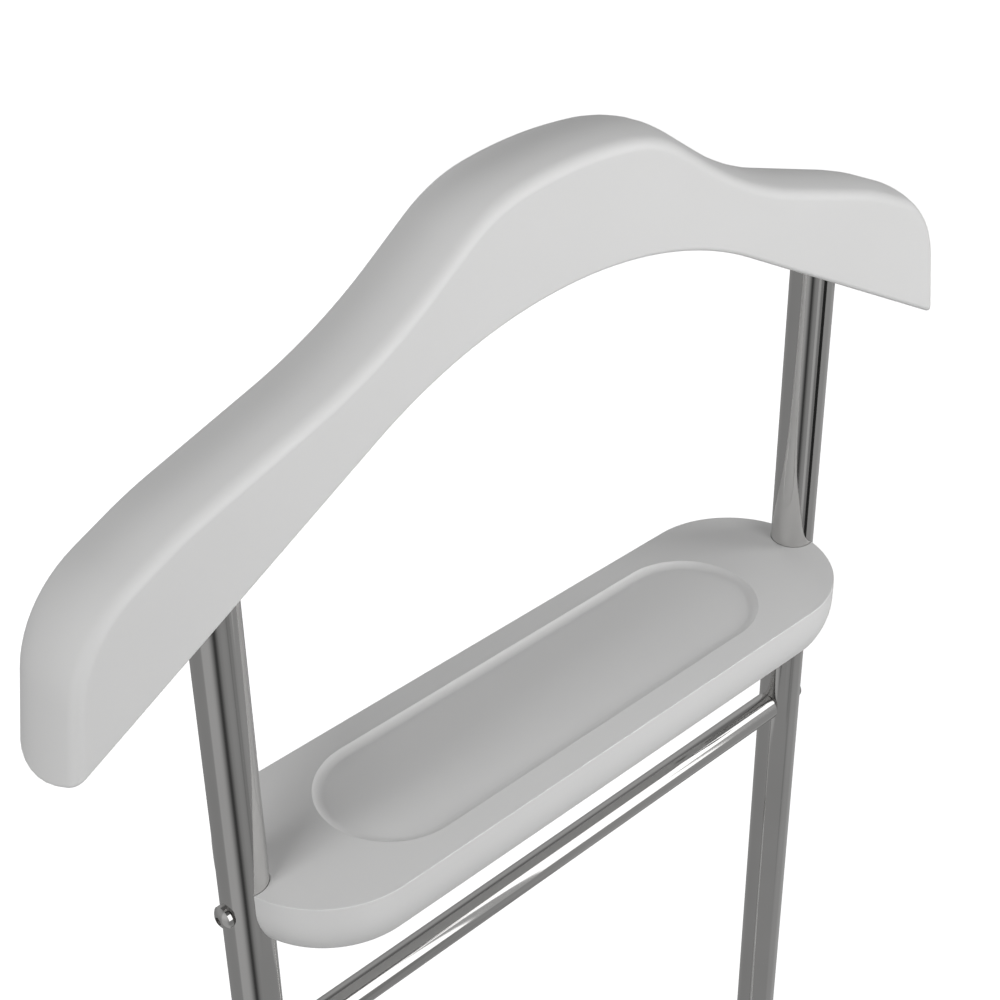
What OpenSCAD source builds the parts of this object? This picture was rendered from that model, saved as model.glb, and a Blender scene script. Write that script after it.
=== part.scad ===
// Clothes valet chair: hanger board, tray and trouser bar on two posts, with a seat in front of them.
// The frame stands on z = 0, centred on x and y. The front, where the seat is, faces -y.

/* [Layout] */
// Height of the tray's top face above the floor
tray_top = 840; // [780:5:900]
// Height of the seat's top face above the floor
seat_top = 450; // [420:5:480]
// Distance between the axes of the two posts
post_spacing = 312; // [296:2:330]
// Distance from the posts' axes forward to the front legs' axes
leg_reach = 330; // [300:5:360]
// Height of the hanger's front crease, at its middle, above the tray's top face
hanger_rise = 234.8; // [220:0.2:250]

/* [Tubes] */
// Diameter of the posts, legs, seat rails and runners
post_d = 19; // [18:0.5:21]
// Wall of those tubes
post_wall = 1.5; // [1.2:0.1:2]
// Diameter of the trouser bar, the crossbar and the rack's sides
bar_d = 13; // [12:0.5:14]
// Wall of the trouser bar, the crossbar and the rack's sides
bar_wall = 1.2; // [1:0.1:1.4]
// Distance of the trouser bar's axis below the tray's top face
bar_drop = 93; // [80:0.5:110]
// Centreline radius of the bend between a front leg and its seat rail
bend_r = 50; // [40:5:70]

/* [Hanger] */
// Thickness of the hanger board, front to back
hanger_t = 33; // [30:1:36]
// Height of the rounded crown above the creases
crown_h = 4.4; // [3.6:0.2:6]
// Depth of the board at its middle, from the crease to the arch below
hanger_mid = 45.5; // [38:0.5:50]
// Radius of the nearly flat top
top_r = 181; // [160:1:220]
// Radius of the brow, where the top turns down
brow_r = 61.5; // [50:0.5:72]
// Length of the straight neck below the brow
neck_len = 20; // [12:1:26]
// Radius of the hollow between neck and arm
hollow_r = 194; // [160:1:230]
// Length of the straight arm
arm_len = 45; // [36:1:52]
// Radius of the shoulder
shoulder_r = 148; // [120:1:170]
// Length of the straight past the shoulder
shoulder_len = 14; // [8:1:20]
// Radius of the corner at the board's end
corner_r = 45; // [38:1:52]
// Radius of the arch below
arch_r = 195; // [170:5:220]
// Depth of the posts' sockets, from the underside at the posts' axes
socket_depth = 25; // [20:1:28]
// Small bevel along the lower edges
lower_bevel = 1.2; // [0.8:0.2:2]

/* [Tray] */
// How far each round end of the tray reaches past the post's axis
tray_past = 4.5; // [0:0.5:6]
// Width of the tray
tray_w = 86.5; // [76:0.5:100]
// Thickness of the tray
tray_t = 23.5; // [18:0.5:25]
// Height of the upright part of the tray's side, below which it curves in
tray_side_h = 8; // [6:0.5:12]
// Radius of that curve
tray_under_r = 30; // [24:1:50]
// Rounding of the tray's edges
tray_edge_r = 1; // [0.8:0.2:3]
// Distance from each round end of the tray to its recess
recess_end = 44.5; // [36:0.5:60]
// Distance from each long side of the tray to its recess
recess_side = 12.2; // [9:0.2:18]
// Depth of the recess in the tray
recess_deep = 1.8; // [0.8:0.1:2.5]
// Width of the hollow slope round the recess
recess_slope_w = 4.4; // [3:0.2:8]

/* [Seat] */
// How far the seat reaches sideways past the rails' axes
seat_past_side = 24; // [14:1:40]
// How far the seat reaches forward past the legs' axes
seat_past_front = 32; // [20:1:38]
// Thickness of the seat
seat_t = 22; // [18:1:28]
// Radius of the seat's corners
seat_corner_r = 78; // [60:2:100]
// Rounding of the seat's edges
seat_edge_r = 4; // [2:0.5:6]
// Space between the seat's rear edge and the posts
seat_gap = 12; // [8:1:20]
// Distance from the seat's edge to its recess
seat_margin = 34; // [26:1:50]
// Depth of the recess in the seat
seat_dish_deep = 2; // [1:0.2:3]
// Width of the hollow slope round the seat's recess
seat_slope_w = 9; // [6:0.5:12]

/* [Base] */
// How far the runners reach forward of the front legs' axes
runner_front = 38; // [34:1:50]
// How far the runners reach behind the posts' axes
runner_rear = 70; // [50:1:90]
// Height of the runners above the floor
runner_lift = 6; // [5:0.5:10]
// Height of the rack's axes above the floor
rack_height = 150; // [120:5:200]
// Diameter of the three shoe rods
shoe_rod_d = 8; // [6:0.5:9]
// Distance between the shoe rods
shoe_rod_spacing = 92; // [70:2:110]
// Distance of the crossbar's axis below the bend of the legs
crossbar_drop = 16; // [10:1:30]

/* [Hidden] */
// Angles of the hanger's outline below the horizontal, in degrees
top_turn = 8;
neck_slope = 35.8;
arm_slope = 18.4;
shoulder_slope = 25.7;
end_slope = 80.8;
arch_slope = 29;
// Height of the small step that ends the hanger's front face at its tips
tip_h = 2.5;
// Turn of the outline between two sections of the hanger, and facets over its crown
turn_step = 4;
crown_steps = 8;
// Radial clearance of a tube in wood or plastic, and of a turned plug in a tube
seat_clear = 0.15;
plug_clear = 0.1;
// Gap left between faces that only touch, and overrun of every cut
touch = 0.05;
over = 1;
// Points on each rounded edge of a board
edge_steps = 4;
// Machine screws: shank, hole, thread, head, the head's straight rim and its hexagon socket
screw_d = 5;
screw_hole_d = 5.3;
thread_clear = 0.05;
head_d = 9.5;
head_h = 3.7;
head_rim = 1.5;
socket_af = 3;
socket_deep = 1.5;
// Length of screw inside an insert or nut
screw_bite = 12;
// Threaded inserts
insert_l = 16;
insert_set = 0.5;
// Barrel nuts in the tray. Each reaches from the tray's underside to a little above its screw.
nut_d = 10;
nut_above = 4.5;
nut_slot_w = 1.2;
nut_slot_deep = 1.5;
nut_inset = 18;
nut_past = 3;
// Seat screws and the spacers between rails and seat
seat_screw_bite = 13;
spacer_h = 4;
spacer_l = 30;
spacer_w = 16;
spacer_wrap = 5;
spacer_in_front = 20;
spacer_in_rear = 46;
// Height of the hanger screws above the underside at the posts' axes
hanger_screw_up = 14;
hanger_screw_l = 12;
// Runner end caps
cap_flange = 4;
cap_plug_l = 12;
cap_round = 1.5;
// Foot pads under the runners
pad_l = 24;
pad_w = 15;
pad_top = 12;
pad_inset = 2;
peg_d = 6;
peg_l = 6;
peg_clear = 0.1;
// How far each shoe rod reaches past the inner face of the rack's sides
shoe_rod_in = 4;
rod_clear = 0.1;

$fn = 48;

white = [0.93, 0.93, 0.92];
chrome = [0.72, 0.73, 0.74];
steel = [0.62, 0.63, 0.65];
black = [0.08, 0.08, 0.09];

// Places that follow from the sizes
post_r = post_d / 2;
bar_r = bar_d / 2;
post_x = post_spacing / 2;
post_bore = post_d - 2 * post_wall;
bar_bore = bar_d - 2 * bar_wall;
reach_front = leg_reach + runner_front + cap_flange;
reach_rear = runner_rear + cap_flange;
post_y = (reach_front - reach_rear) / 2;
leg_y = post_y - leg_reach;
runner_z = runner_lift + post_r;
runner_top = runner_lift + post_d;
runner_from = leg_y - runner_front;
runner_to = post_y + runner_rear;
tray_mid = tray_top - tray_t / 2;
tray_l = post_spacing + 2 * tray_past;
nut_l = tray_t / 2 + nut_above;
recess_l = tray_l - 2 * recess_end;
recess_w = tray_w - 2 * recess_side;
bar_z = tray_top - bar_drop;
seat_low = seat_top - seat_t;
seat_rear = post_y - post_r - seat_gap;
seat_front = leg_y - seat_past_front;
seat_l = seat_rear - seat_front;
seat_w = post_spacing + 2 * seat_past_side;
seat_mid_y = (seat_front + seat_rear) / 2;
rail_z = seat_low - spacer_h - post_r;
bend_z = rail_z - bend_r;
crossbar_z = bend_z - crossbar_drop;
spacer_ys = [leg_y + bend_r + spacer_in_front, post_y - spacer_in_rear - post_r];
shoe_mid_y = (leg_y + post_y) / 2;

// Hanger outline. A walk starts at the middle and goes outwards: each arc turns to a new slope,
// and each straight keeps the slope. Every step gives [x, z, slope].
crease_z = tray_top + hanger_rise;
arch_z = crease_z - hanger_mid;

function arc_points(from, r, slope, bends) =
    let (n = max(1, ceil(abs(slope - from[2]) / turn_step)))
    [for (i = [1:n])
        let (a = from[2] + (slope - from[2]) * i / n)
        [from[0] + bends * r * (sin(a) - sin(from[2])), from[1] - bends * r * (cos(from[2]) - cos(a)), a]];

function straight_point(from, length) =
    [from[0] + length * cos(from[2]), from[1] - length * sin(from[2]), from[2]];

function last(list) = list[len(list) - 1];

// Length along the line from p, down the slope a, to the straight part of the underside
function length_to_arch(p, a) =
    let (t = arch_end, dx = p[0] - t[0], dz = p[1] - t[1])
    (dz + dx * tan(arch_slope)) / (sin(a) - cos(a) * tan(arch_slope));

arch_end = [arch_r * sin(arch_slope), arch_z - arch_r * (1 - cos(arch_slope))];
top_start = [0, crease_z, 0];
top_arc = arc_points(top_start, top_r, top_turn, 1);
brow_arc = arc_points(last(top_arc), brow_r, neck_slope, 1);
neck_end = straight_point(last(brow_arc), neck_len);
hollow_arc = arc_points(neck_end, hollow_r, arm_slope, -1);
arm_end = straight_point(last(hollow_arc), arm_len);
shoulder_arc = arc_points(arm_end, shoulder_r, shoulder_slope, 1);
shoulder_end = straight_point(last(shoulder_arc), shoulder_len);
corner_arc = arc_points(shoulder_end, corner_r, end_slope, 1);
end_len = length_to_arch(last(corner_arc), end_slope);
tip_top = straight_point(last(corner_arc), end_len - tip_h / sin(end_slope));
tip_low = straight_point(last(corner_arc), end_len);

crease = concat([top_start], top_arc, brow_arc, [neck_end], hollow_arc, [arm_end],
    shoulder_arc, [shoulder_end], corner_arc, [tip_top]);

// The point of the underside below a share of its run, from the middle to the tip
arch_arc_len = arch_r * arch_slope * PI / 180;
arch_run = arch_arc_len + norm([tip_low[0], tip_low[1]] - arch_end);
function arch_point(share) =
    let (s = share * arch_run, a = s / arch_r * 180 / PI)
    s <= arch_arc_len
        ? [arch_r * sin(a), arch_z - arch_r * (1 - cos(a))]
        : arch_end + (s - arch_arc_len) * [cos(arch_slope), -sin(arch_slope)];

crease_runs = [for (i = [0:len(crease) - 1])
    i == 0 ? 0 : norm([crease[i][0] - crease[i - 1][0], crease[i][1] - crease[i - 1][1]])];
function run_to(i) = i == 0 ? 0 : crease_runs[i] + run_to(i - 1);
crease_run = run_to(len(crease) - 1);

// Crown: a shallow arc over the board's thickness
crown_r = (pow(hanger_t / 2, 2) + pow(crown_h, 2)) / (2 * crown_h);
crown_half = asin(hanger_t / 2 / crown_r);
function crown_rise_at(y) = sqrt(pow(crown_r, 2) - pow(y, 2)) - crown_r + crown_h;

// One closed section of the board at crease point i, on the side of x = side
function hanger_ring(i, side) =
    let (
        at = crease[i],
        low = arch_point(run_to(i) / crease_run),
        is_tip = i == len(crease) - 1,
        out = is_tip
            ? [cos(arch_slope), -sin(arch_slope)] / sin(end_slope - arch_slope)
            : [sin(at[2]), cos(at[2])],
        up = [at[0] - low[0], at[1] - low[1]] / norm([at[0] - low[0], at[1] - low[1]]),
        half = hanger_t / 2
    )
    concat(
        [
            [side * low[0], half - lower_bevel, low[1]],
            [side * low[0], lower_bevel - half, low[1]],
            [side * (low[0] + up[0] * lower_bevel), -half, low[1] + up[1] * lower_bevel]
        ],
        [for (k = [0:crown_steps])
            let (y = crown_r * sin(crown_half * (2 * k / crown_steps - 1)), h = crown_rise_at(y))
            [side * (at[0] + out[0] * h), y, at[1] + out[1] * h]],
        [[side * (low[0] + up[0] * lower_bevel), half, low[1] + up[1] * lower_bevel]]
    );

module hanger_board() {
    n = len(crease) - 1;
    rings = concat([for (i = [n:-1:0]) hanger_ring(i, -1)], [for (i = [1:n]) hanger_ring(i, 1)]);
    size = len(rings[0]);
    points = [for (ring = rings) each ring];
    sides = [for (r = [0:len(rings) - 2], k = [0:size - 1])
        let (a = r * size + k, b = r * size + (k + 1) % size, c = a + size, d = b + size)
        each [[a, b, d], [a, d, c]]];
    last_at = (len(rings) - 1) * size;
    ends = [for (k = [1:size - 2]) each [[0, k + 1, k], [last_at, last_at + k, last_at + k + 1]]];
    translate([0, post_y, 0]) polyhedron(points = points, faces = concat(sides, ends), convexity = 6);
}

// Height of the underside straight above a post's axis
socket_z = post_x < arch_end[0]
    ? arch_z - arch_r + sqrt(pow(arch_r, 2) - pow(post_x, 2))
    : arch_end[1] - (post_x - arch_end[0]) * tan(arch_slope);
post_top = socket_z + socket_depth;
hanger_screw_z = socket_z + hanger_screw_up;

// A rod along x or y, from one place to another
module rod_x(d, from, to) {
    translate([from, 0, 0]) rotate([0, 90, 0]) cylinder(d = d, h = to - from);
}
module rod_y(d, from, to) {
    translate([0, from, 0]) rotate([-90, 0, 0]) cylinder(d = d, h = to - from);
}

// A dome-headed screw along z: the head sits above z = 0 and the shank goes down
module dome_screw(length) {
    dome_h = head_h - head_rim;
    dome_r = (pow(head_d / 2, 2) + pow(dome_h, 2)) / (2 * dome_h);
    color(chrome) {
        difference() {
            intersection() {
                translate([0, 0, head_h - dome_r]) sphere(r = dome_r);
                cylinder(d = head_d, h = head_h);
            }
            translate([0, 0, head_h - socket_deep])
                cylinder(d = socket_af / cos(30), h = socket_deep + over, $fn = 6);
        }
        translate([0, 0, -length]) cylinder(d = screw_d, h = length);
    }
}

// A threaded plug along z, from z = 0 down
module insert(bore) {
    color(steel) translate([0, 0, -insert_l]) difference() {
        cylinder(d = bore - 2 * plug_clear, h = insert_l);
        translate([0, 0, -over]) cylinder(d = screw_d + 2 * thread_clear, h = insert_l + 2 * over);
    }
}

// Turns things that point along +z so that they point along +x, -x, +y, -y or -z
module facing_x(side) {
    rotate([0, side * 90, 0]) children();
}
module facing_y(side) {
    rotate([-side * 90, 0, 0]) children();
}
module facing_down() {
    rotate([180, 0, 0]) children();
}

// Half section of a round board with rounded edges, of the tray, whose side curves in below,
// and of the hollow cut into a board
function edge_arc(x, z, r, from, to) =
    [for (i = [0:edge_steps]) let (a = from + (to - from) * i / edge_steps) [x + r * cos(a), z + r * sin(a)]];
function board_half(w, t, r) =
    concat([[0, -t]], edge_arc(w - r, r - t, r, -90, 0), edge_arc(w - r, -r, r, 0, 90), [[0, 0]]);
function tray_half(w) =
    let (turn = asin((tray_t - tray_side_h) / tray_under_r))
    concat([[0, -tray_t]], edge_arc(w - tray_under_r, -tray_side_h, tray_under_r, -turn, 0),
        edge_arc(w - tray_edge_r, -tray_edge_r, tray_edge_r, 0, 90), [[0, 0]]);
function dish_half(w, deep, slope_w) =
    let (r = (pow(slope_w, 2) + pow(deep, 2)) / (2 * deep), turn = asin(slope_w / r))
    concat([[0, -deep]], edge_arc(w - slope_w, r - deep, r, -90, turn - 90), [[w, over], [0, over]]);
function mirrored(half) =
    concat(half, [for (i = [len(half) - 1:-1:0]) if (half[i][0] > 0) [-half[i][0], half[i][1]]]);

// A board with round corners: discs at the corners, and bars of the same section between them.
// It hangs below z = 0. The form "tray" has the tray's side, and "hollow" is a recess to be cut.
module round_board(l, w, corner, deep, edge, form = "board") {
    cx = l / 2 - corner;
    cy = w / 2 - corner;
    function half(reach) = form == "hollow" ? dish_half(reach, deep, edge)
        : form == "tray" ? tray_half(reach)
        : board_half(reach, deep, edge);
    for (sx = [-1, 1], sy = cy > 0 ? [-1, 1] : [0])
        translate([sx * cx, sy * cy, 0]) rotate_extrude($fn = 96) polygon(half(corner));
    translate([-cx, 0, 0]) rotate([90, 0, 90]) linear_extrude(2 * cx) polygon(mirrored(half(w / 2)));
    if (cy > 0)
        translate([0, cy, 0]) rotate([90, 0, 0]) linear_extrude(2 * cy) polygon(mirrored(half(l / 2)));
}

module hanger() {
    color(white) difference() {
        hanger_board();
        for (side = [-1, 1]) translate([side * post_x, post_y, 0]) {
            translate([0, 0, socket_z - hanger_t - over])
                cylinder(d = post_d + 2 * seat_clear, h = socket_depth + hanger_t + over);
            translate([0, 0, hanger_screw_z]) rod_y(screw_hole_d, 0, hanger_t / 2 + over);
        }
    }
}

module tray() {
    color(white) difference() {
        translate([0, post_y, tray_top]) difference() {
            round_board(tray_l, tray_w, tray_w / 2, tray_t, tray_edge_r, "tray");
            round_board(recess_l, recess_w, recess_w / 2, recess_deep, recess_slope_w, "hollow");
        }
        for (side = [-1, 1]) translate([side * post_x, post_y, tray_top]) {
            translate([0, 0, -tray_t - over])
                cylinder(d = post_d + 2 * seat_clear, h = tray_t + 2 * over);
            translate([0, 0, -tray_t / 2]) facing_x(-side)
                cylinder(d = screw_hole_d, h = post_r + nut_inset + nut_d);
            translate([-side * (post_r + nut_inset), 0, -tray_t - over])
                cylinder(d = nut_d + 2 * plug_clear, h = nut_l + over + plug_clear);
        }
    }
}

module seat() {
    dish_l = seat_w - 2 * seat_margin;
    dish_w = seat_l - 2 * seat_margin;
    color(white) difference() {
        translate([0, seat_mid_y, seat_top]) difference() {
            round_board(seat_w, seat_l, seat_corner_r, seat_t, seat_edge_r);
            round_board(dish_l, dish_w, seat_corner_r - seat_margin, seat_dish_deep, seat_slope_w, "hollow");
        }
        for (side = [-1, 1], y = spacer_ys) translate([side * post_x, y, seat_low - over])
            cylinder(d = screw_d + 2 * thread_clear, h = seat_screw_bite + 2 * over);
    }
}

// A post: its foot is cut to sit on the runner, and its top ends in the hanger's socket
module post(side) {
    color(chrome) difference() {
        translate([side * post_x, post_y, runner_z]) cylinder(d = post_d, h = post_top - runner_z);
        translate([side * post_x, post_y, runner_z - over])
            cylinder(d = post_bore, h = post_top - runner_z + 2 * over);
        translate([side * post_x, 0, runner_z])
            rod_y(post_d + 2 * touch, post_y - post_d, post_y + post_d);
        for (z = [bar_z, tray_mid]) translate([side * post_x, post_y, z])
            rod_x(screw_hole_d, -post_d, post_d);
        for (z = [rail_z, rack_height]) translate([side * post_x, post_y, z])
            rod_y(screw_hole_d, -post_d, post_d);
        translate([side * post_x, post_y, hanger_screw_z]) rod_y(screw_d + 2 * thread_clear, 0, post_d);
    }
}

// A front leg and its seat rail as one bent bar of diameter d, on x = 0
module leg_bar(d, past) {
    translate([0, leg_y, runner_z - past]) cylinder(d = d, h = bend_z - runner_z + past);
    translate([0, leg_y + bend_r, bend_z]) rotate([90, 0, -90])
        rotate_extrude(angle = 90) translate([bend_r, 0]) circle(d = d);
    translate([0, 0, rail_z]) rod_y(d, leg_y + bend_r, post_y + past);
}

module front_leg(side) {
    color(chrome) translate([side * post_x, 0, 0]) difference() {
        leg_bar(post_d, 0);
        leg_bar(post_bore, over);
        translate([0, 0, runner_z]) rod_y(post_d + 2 * touch, leg_y - post_d, leg_y + post_d);
        translate([0, post_y, bend_z]) cylinder(d = post_d + 2 * touch, h = bend_r + post_d);
        translate([0, leg_y, rack_height]) rod_y(screw_hole_d, -post_d, post_d);
        translate([0, leg_y, crossbar_z]) rod_x(screw_hole_d, -post_d, post_d);
        for (y = spacer_ys) translate([0, y, rail_z - post_d]) cylinder(d = screw_hole_d, h = 2 * post_d);
    }
}

// A floor runner, with holes for the screws and for the pegs of its foot pads
module runner(side) {
    color(chrome) translate([side * post_x, 0, 0]) difference() {
        translate([0, 0, runner_z]) rod_y(post_d, runner_from, runner_to);
        translate([0, 0, runner_z]) rod_y(post_bore, runner_from - over, runner_to + over);
        for (y = [leg_y, post_y]) translate([0, y, runner_z - post_d])
            cylinder(d = screw_hole_d, h = 2 * post_d);
        for (y = pad_ys) translate([0, y, runner_lift - over])
            cylinder(d = peg_d + 2 * peg_clear, h = post_wall + 2 * over);
    }
}
pad_ys = [runner_from + pad_inset + pad_l / 2, runner_to - pad_inset - pad_l / 2];

// A straight bar between the inner faces of two upright tubes
module cross_tube(y, z) {
    inner = post_x - post_r - touch;
    color(chrome) translate([0, y, z]) difference() {
        rod_x(bar_d, -inner, inner);
        rod_x(bar_bore, -inner - over, inner + over);
    }
}

module cross_inserts(y, z) {
    for (side = [-1, 1])
        translate([side * (post_x - post_r - touch - insert_set), y, z]) facing_x(side) insert(bar_bore);
}

module cross_screws(y, z, length) {
    for (side = [-1, 1]) translate([side * (post_x + post_r), y, z]) facing_x(side) dome_screw(length);
}
cross_screw_l = post_d + touch + insert_set + screw_bite;

// A side of the shoe rack, between a front leg and a post, with holes for the rods
module rack_side(side) {
    color(chrome) translate([side * post_x, 0, rack_height]) difference() {
        rod_y(bar_d, leg_y + post_r + touch, post_y - post_r - touch);
        rod_y(bar_bore, leg_y, post_y);
        for (y = shoe_rod_ys) translate([0, y, 0]) facing_x(-side)
            cylinder(d = shoe_rod_d + 2 * rod_clear, h = bar_d);
    }
}
shoe_rod_ys = [for (k = [-1:1]) shoe_mid_y + k * shoe_rod_spacing];

module shoe_rod(y) {
    reach = post_x - bar_r + shoe_rod_in;
    color(chrome) translate([0, y, rack_height]) rod_x(shoe_rod_d, -reach, reach);
}

module rack_inserts() {
    for (side = [-1, 1]) translate([side * post_x, 0, rack_height]) {
        translate([0, leg_y + post_r + touch + insert_set, 0]) facing_y(-1) insert(bar_bore);
        translate([0, post_y - post_r - touch - insert_set, 0]) facing_y(1) insert(bar_bore);
    }
}

// The rail's end is cut round the post, so its insert starts at the post's surface
module rail_inserts() {
    for (side = [-1, 1]) translate([side * post_x, post_y - post_r - touch - insert_set, rail_z])
        facing_y(1) insert(post_bore);
}

module runner_inserts(y) {
    for (side = [-1, 1]) translate([side * post_x, y, runner_top + insert_set]) facing_down() insert(post_bore);
}

module tray_barrel_nuts() {
    for (side = [-1, 1]) translate([side * (post_x - post_r - nut_inset), post_y, tray_top - tray_t])
        color(steel) difference() {
            cylinder(d = nut_d, h = nut_l);
            translate([0, 0, tray_t / 2]) rod_x(screw_d + 2 * thread_clear, -nut_d, nut_d);
            translate([-nut_d / 2 - over, -nut_slot_w / 2, -over])
                cube([nut_d + 2 * over, nut_slot_w, nut_slot_deep + over]);
        }
}
tray_screw_l = post_d + nut_inset + nut_d / 2 + nut_past;

module hanger_screws() {
    for (side = [-1, 1]) translate([side * post_x, post_y + hanger_t / 2, hanger_screw_z])
        facing_y(1) dome_screw(hanger_screw_l);
}

module rail_screws() {
    for (side = [-1, 1]) translate([side * post_x, post_y + post_r, rail_z])
        facing_y(1) dome_screw(cross_screw_l);
}

module rack_screws(y, facing) {
    for (side = [-1, 1]) translate([side * post_x, y + facing * post_r, rack_height])
        facing_y(facing) dome_screw(cross_screw_l);
}

module seat_screws() {
    for (side = [-1, 1], y = spacer_ys) translate([side * post_x, y, rail_z - post_r])
        facing_down() dome_screw(post_d + spacer_h + seat_screw_bite);
}

module runner_screws() {
    for (side = [-1, 1], y = [leg_y, post_y]) translate([side * post_x, y, runner_lift])
        facing_down() dome_screw(post_d + insert_set + screw_bite);
}

// A block between rail and seat, hollowed to the rail's round
module seat_spacers() {
    for (side = [-1, 1], y = spacer_ys) translate([side * post_x, y, 0]) color(black) difference() {
        translate([-spacer_w / 2, -spacer_l / 2, seat_low - touch - spacer_h - spacer_wrap])
            cube([spacer_w, spacer_l, spacer_h + spacer_wrap]);
        translate([0, 0, rail_z]) rod_y(post_d + 2 * touch, -spacer_l, spacer_l);
        translate([0, 0, rail_z]) cylinder(d = screw_hole_d, h = post_d + spacer_h);
    }
}

module runner_cap(side, y, facing) {
    translate([side * post_x, y, runner_z]) facing_y(facing) color(black) {
        rotate_extrude() polygon(concat([[0, 0], [post_r, 0]],
            edge_arc(post_r - cap_round, cap_flange - cap_round, cap_round, 0, 90), [[0, cap_flange]]));
        translate([0, 0, -cap_plug_l]) cylinder(d = post_bore - 2 * plug_clear, h = cap_plug_l);
    }
}

// A pad under a runner: a block with round ends, hollowed to the runner, with a peg in its wall
module foot_pad(side, y) {
    straight = pad_l - pad_w;
    translate([side * post_x, y, 0]) color(black) {
        difference() {
            union() {
                for (k = [-1, 1]) translate([0, k * straight / 2, 0]) cylinder(d = pad_w, h = pad_top);
                translate([-pad_w / 2, -straight / 2, 0]) cube([pad_w, straight, pad_top]);
            }
            translate([0, 0, runner_z]) rod_y(post_d + 2 * touch, -pad_l, pad_l);
        }
        translate([0, 0, runner_lift / 2]) cylinder(d = peg_d, h = runner_lift / 2 + peg_l);
    }
}

hanger();
tray();
seat();
post(-1);  // post_left
post(1);  // post_right
front_leg(-1);  // front_leg_left
front_leg(1);  // front_leg_right
runner(-1);  // runner_left
runner(1);  // runner_right
cross_tube(post_y, bar_z);  // trouser_bar
cross_tube(leg_y, crossbar_z);  // front_crossbar
rack_side(-1);  // rack_side_left
rack_side(1);  // rack_side_right
shoe_rod(shoe_rod_ys[0]);  // shoe_rod_front
shoe_rod(shoe_rod_ys[1]);  // shoe_rod_middle
shoe_rod(shoe_rod_ys[2]);  // shoe_rod_rear
cross_inserts(post_y, bar_z);  // trouser_bar_inserts
cross_inserts(leg_y, crossbar_z);  // crossbar_inserts
rack_inserts();
rail_inserts();
runner_inserts(post_y);  // post_inserts
runner_inserts(leg_y);  // leg_inserts
tray_barrel_nuts();
cross_screws(post_y, bar_z, cross_screw_l);  // trouser_bar_screws
cross_screws(post_y, tray_mid, tray_screw_l);  // tray_screws
hanger_screws();
rail_screws();
cross_screws(leg_y, crossbar_z, cross_screw_l);  // crossbar_screws
rack_screws(leg_y, -1);  // rack_front_screws
rack_screws(post_y, 1);  // rack_rear_screws
seat_screws();
runner_screws();
seat_spacers();
runner_cap(-1, runner_from, -1);  // runner_cap_front_left
runner_cap(1, runner_from, -1);  // runner_cap_front_right
runner_cap(-1, runner_to, 1);  // runner_cap_rear_left
runner_cap(1, runner_to, 1);  // runner_cap_rear_right
foot_pad(-1, pad_ys[0]);  // foot_pad_front_left
foot_pad(1, pad_ys[0]);  // foot_pad_front_right
foot_pad(-1, pad_ys[1]);  // foot_pad_rear_left
foot_pad(1, pad_ys[1]);  // foot_pad_rear_right
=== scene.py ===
import math

import bmesh
import bpy
from mathutils import Matrix, Vector


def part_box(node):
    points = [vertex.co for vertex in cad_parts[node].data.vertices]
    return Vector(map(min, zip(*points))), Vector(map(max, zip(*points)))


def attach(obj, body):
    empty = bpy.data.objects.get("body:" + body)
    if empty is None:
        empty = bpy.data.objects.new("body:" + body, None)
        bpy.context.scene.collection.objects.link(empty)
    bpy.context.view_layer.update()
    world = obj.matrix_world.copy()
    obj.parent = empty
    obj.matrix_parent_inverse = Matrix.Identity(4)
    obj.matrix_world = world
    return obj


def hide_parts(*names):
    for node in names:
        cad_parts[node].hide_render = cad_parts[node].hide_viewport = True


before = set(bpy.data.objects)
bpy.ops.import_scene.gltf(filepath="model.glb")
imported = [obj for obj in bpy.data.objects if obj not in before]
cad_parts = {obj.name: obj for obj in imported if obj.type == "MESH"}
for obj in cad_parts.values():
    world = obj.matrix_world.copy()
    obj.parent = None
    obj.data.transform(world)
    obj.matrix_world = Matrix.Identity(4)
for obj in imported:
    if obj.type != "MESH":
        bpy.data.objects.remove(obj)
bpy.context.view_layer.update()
scene = bpy.context.scene
print("frame:", len(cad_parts), "nodes")


# small helpers for node trees

noiseLow, noiseHigh = 0.3, 0.7            # a noise texture stays mostly between these


def newFinish(name):
    finish = bpy.data.materials.new(name)
    finish.use_nodes = True
    tree = finish.node_tree
    coords = tree.nodes.new("ShaderNodeTexCoord").outputs["Object"]
    return finish, tree, tree.nodes["Principled BSDF"], coords


def addNoise(tree, coords, scale, detail=3):
    noise = tree.nodes.new("ShaderNodeTexNoise")
    noise.inputs["Scale"].default_value = scale
    noise.inputs["Detail"].default_value = detail
    tree.links.new(coords, noise.inputs["Vector"])
    return noise.outputs["Fac"]


def addStretch(tree, coords, scale):
    mapping = tree.nodes.new("ShaderNodeMapping")
    mapping.inputs["Scale"].default_value = scale
    tree.links.new(coords, mapping.inputs["Vector"])
    return mapping.outputs["Vector"]


def addRange(tree, value, low, high, fromLow=noiseLow, fromHigh=noiseHigh):
    span = tree.nodes.new("ShaderNodeMapRange")
    ends = {"From Min": fromLow, "From Max": fromHigh, "To Min": low, "To Max": high}
    for socket, number in ends.items():
        span.inputs[socket].default_value = number
    tree.links.new(value, span.inputs["Value"])
    return span.outputs["Result"]


def addRamp(tree, value, stops):
    ramp = tree.nodes.new("ShaderNodeValToRGB")
    elements = ramp.color_ramp.elements
    while len(elements) < len(stops):
        elements.new(0.5)
    for element, (place, colour) in zip(elements, stops):
        element.position = place
        element.color = (*colour, 1)
    tree.links.new(value, ramp.inputs["Fac"])
    return ramp.outputs["Color"]


def addTones(tree, noise, dark, light):
    return addRamp(tree, noise, [(noiseLow, dark), (noiseHigh, light)])


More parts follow.
